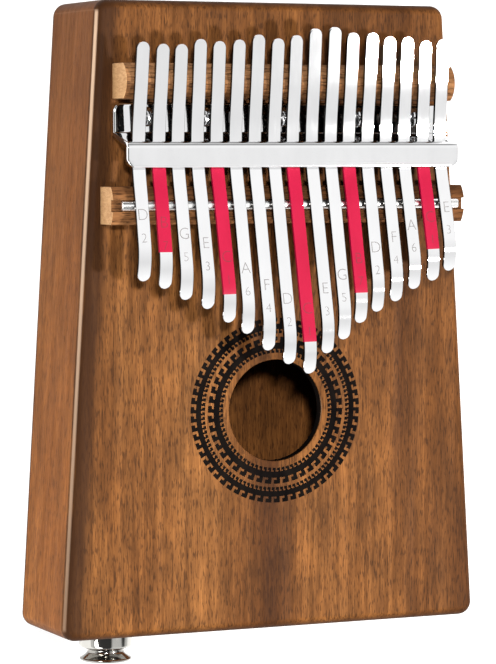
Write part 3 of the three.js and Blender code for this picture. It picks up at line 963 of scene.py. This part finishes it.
def tine_path(index):
    """The tine's middle line from tail to tip, in (y from the rod, z above the board)."""
    tail = TAILS[index] * mm
    bar_y = (BAR_FRONT_Y + WEB_HEAD_Y) / 2 - ROD_Y + 1 * mm
    angle = math.atan(TINE_SLOPE)
    curl_depth = CURL_RADIUS * (math.sin(angle) + math.sin(CURL_LENGTH / CURL_RADIUS - angle))
    curl_start = curl_depth - reach(index)
    start = Vector((BRIDGE_Y + tail, OVER_BRIDGE + tail * TAIL_SLOPE))
    bridge = Vector((BRIDGE_Y, OVER_BRIDGE))
    low = Vector((bar_y, LOWEST))
    rod = Vector((0, OVER_ROD))
    curl = Vector((curl_start, OVER_ROD - curl_start * TINE_SLOPE))
    points = [start.lerp(bridge, i / 10) for i in range(10)]
    points += bezier(bridge, Vector((BRIDGE_Y - 8 * mm, OVER_BRIDGE - 1.1 * mm)),
                     Vector((bar_y + 8 * mm, LOWEST)), low, 20)
    points += bezier(low, Vector((bar_y - 5 * mm, LOWEST)),
                     Vector((4 * mm, OVER_ROD - 4 * mm * TINE_SLOPE)), rod, 18)
    flat_steps = max(3, round((rod - curl).length / (1.5 * mm)))
    points += [rod.lerp(curl, i / flat_steps) for i in range(flat_steps)]
    centre = curl + Vector((-math.sin(angle), -math.cos(angle))) * CURL_RADIUS
    first = math.degrees(math.pi / 2 - angle)
    turn = math.degrees(CURL_LENGTH / CURL_RADIUS)
    points += [Vector(point) for point in arc(centre, CURL_RADIUS, first, first + turn, 22)]
    return points


def resample(points, stations):
    """Points on a polyline at the given distances from its start, with the direction at each."""
    lengths = [0.0]
    for a, b in zip(points, points[1:]):
        lengths.append(lengths[-1] + (b - a).length)
    result = []
    k = 0
    for s in stations:
        while k < len(points) - 2 and lengths[k + 1] < s:
            k += 1
        t = (s - lengths[k]) / (lengths[k + 1] - lengths[k])
        before = points[max(k - 1, 0)]
        after = points[min(k + 2, len(points) - 1)]
        result.append((points[k].lerp(points[k + 1], t), (after - before).normalized()))
    return result


def strip_section(half_width, half_thickness):
    """A strip's section: a rectangle with round corners."""
    radius = min(0.13 * mm, half_width * 0.9)
    rise = min(radius, half_thickness * 0.6)
    points = []
    for sx, sz, first in ((1, 1, 0), (-1, 1, 90), (-1, -1, 180), (1, -1, 270)):
        centre = (sx * (half_width - radius), sz * (half_thickness - rise))
        corner = arc((0, 0), 1, first, first + 90, 3)
        points += [(centre[0] + c * radius, centre[1] + s * rise) for c, s in corner]
    return points


def text_mesh(text, size):
    """Thin upright lettering centred on the origin, as vertices and faces."""
    data = bpy.data.curves.new("mark", "FONT")
    data.body = text
    data.size = size
    data.align_x = "CENTER"
    data.align_y = "CENTER"
    data.offset = -0.02 * size
    data.extrude = 0.01 * mm
    data.resolution_u = 4
    source = bpy.data.objects.new("mark", data)
    bpy.context.scene.collection.objects.link(source)
    mesh = bpy.data.meshes.new_from_object(source.evaluated_get(bpy.context.evaluated_depsgraph_get()))
    vertices = [v.co.copy() for v in mesh.vertices]
    faces = [tuple(p.vertices) for p in mesh.polygons]
    bpy.data.objects.remove(source)
    bpy.data.meshes.remove(mesh)
    return vertices, faces


def make_tine(index):
    number = index + 1
    node = f"tine_{number:02d}"
    path = tine_path(index)
    total = sum((b - a).length for a, b in zip(path, path[1:]))
    radius = TINE_WIDTH / 2
    end_steps = 9
    ends = [radius * (1 - math.cos(math.pi / 2 * k / end_steps)) for k in range(end_steps)]
    ends[0] = 0.02 * mm
    red = number in RED_STOPS
    red_end = total - RED_STOPS.get(number, 9 * mm)
    red_start = (path[0] - Vector((BAR_FRONT_Y + 2 * mm - ROD_Y, LOWEST))).length
    middle_steps = round((total - 2 * radius) / (1.1 * mm))
    middle = [radius + (total - 2 * radius) * k / middle_steps for k in range(middle_steps + 1)]
    stations = sorted(set(ends + middle + [total - s for s in ends] + [red_start, red_end]))
    rings = []
    for s, (point, direction) in zip(stations, resample(path, stations)):
        from_end = min(s, total - s, radius)
        half = math.sqrt(max(radius ** 2 - (radius - from_end) ** 2, 1e-12))
        normal = Vector((direction.y, -direction.x))
        ring = []
        for u, v in strip_section(half, TINE_THICKNESS / 2):
            ring.append((u, point.x + normal.x * v, point.y + normal.y * v))
        rings.append(ring)
    vertices, faces = skin(rings, closed=False)
    painted_faces = []
    count = len(rings[0])
    slack = 1e-9
    for f in range(len(faces)):
        strip = f // count
        s = stations[min(strip, len(stations) - 1)]
        lacquered = red and red_start - slack <= s < red_end - slack and strip < len(rings) - 1
        painted_faces.append(1 if lacquered else 0)
    heights = sorted((p.x, p.y) for p in path)
    for text, size, back in ((NOTES[index], 4.8 * mm, 18.6 * mm), (degree(NOTES[index]), 3.8 * mm, 12 * mm)):
        middle_y = path[-1].x + back
        marks, mark_faces = text_mesh(text, size)
        offset = len(vertices)
        for v in marks:
            y = middle_y + v.y
            vertices.append((v.x, y, height_at(heights, y) + TINE_THICKNESS / 2 * 1.02 + v.z))
        faces += [tuple(offset + i for i in face) for face in mark_faces]
        painted_faces += [2] * len(mark_faces)
    turn = Matrix.Rotation(lean(index), 3, "Z")
    placed = [turn @ Vector(v) + Vector((tine_x(index), ROD_Y, FACE)) for v in vertices]
    engraved = engraving_in_red if red else engraving
    piece = mesh_object(f"steel_{node}", placed, faces, [tine_steel, red_lacquer, engraved],
                        None, 12)
    for polygon, material in zip(piece.data.polygons, painted_faces):
        polygon.material_index = material
    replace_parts(piece, node)
    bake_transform(piece)


def degree(note):
    return str("CDEFGAB".index(note) + 1)


def height_at(heights, y):
    for (y0, z0), (y1, z1) in zip(heights, heights[1:]):
        if y <= y1:
            return z0 + (z1 - z0) * (y - y0) / (y1 - y0)
    return heights[-1][1]


# ---------------------------------------------------------------- the jack and the pickup

def make_jack():
    place = (JACK_X, BOTTOM_Y, JACK_Z)
    bore = 4.25 * mm
    radius = (collar_high.x - collar_low.x) / 2
    deep = BOTTOM_Y - collar_low.y
    collar = [(bore, 0.02 * mm), (radius - 0.2 * mm, 0.02 * mm), (radius, 0.25 * mm),
              (radius, deep - 0.9 * mm), (radius - 0.15 * mm, deep - 0.45 * mm),
              (radius - 0.5 * mm, deep - 0.12 * mm),
              (radius - 0.9 * mm, deep), (bore, deep)]
    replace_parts(turned("collar_ring", collar, place, nickel), "jack_collar")
    flange = (button_high.x - button_low.x) / 2
    low = BOTTOM_Y - button_high.y
    high = BOTTOM_Y - button_low.y
    waist = BUTTON_WAIST
    button = [(bore, low - 0.2 * mm), (waist + 0.45 * mm, low - 0.2 * mm), (waist + 0.1 * mm, low + 0.2 * mm),
              (waist, low + 0.6 * mm), (waist + 0.1 * mm, low + 1.1 * mm),
              (waist + 0.45 * mm, low + 1.6 * mm),
              (waist + 1.1 * mm, low + 2.1 * mm), (flange - 0.75 * mm, low + 2.45 * mm),
              (flange - 0.2 * mm, low + 2.65 * mm), (flange, low + 2.95 * mm),
              (flange - 0.12 * mm, high - 0.4 * mm),
              (flange - 0.5 * mm, high - 0.12 * mm), (flange - 1.1 * mm, high), (bore + 0.3 * mm, high),
              (bore, high - 0.2 * mm)]
    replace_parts(turned("strap_button_cap", button, place, shaded_nickel), "strap_button")
    inside = SOCKET_RADIUS
    outside = BARREL_RADIUS
    first = BOTTOM_Y - barrel_high.y
    last = BOTTOM_Y - barrel_low.y
    barrel = [(inside, first), (outside, first), (outside, last - 0.2 * mm), (outside - 0.2 * mm, last),
              (inside + 0.35 * mm, last), (inside, last - 0.35 * mm)]
    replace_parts(turned("socket_barrel", barrel, place, nickel), "jack_barrel")


def finish_cad_nodes():
    """Materials for the CAD nodes that stay in view."""
    finishes = {
        "bridge_block": plain_wood, "jack_washer": chrome, "jack_inner_nut": chrome,
        "jack_insulator": black_plastic, "tip_terminal": brass, "ground_terminal": brass,
        "pickup_disc": brass, "pickup_ceramic": ceramic, "pickup_lead": black_plastic,
    }
    for node, material in finishes.items():
        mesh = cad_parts[node].data
        mesh.materials.clear()
        mesh.materials.append(material)


make_camera()
make_world()
make_stage()
make_soundboard()
make_back()
make_side("left_side", -1, "side_left")
make_side("right_side", 1, "side_right")
make_rail("lower_rail", -1, "bottom_rail")
make_rail("upper_rail", 1, "top_rail")
make_rosette()
make_bridges()
make_rod()
make_bracket()
make_screws()
for tine_index in range(len(SEMITONES)):
    make_tine(tine_index)
make_jack()
finish_cad_nodes()
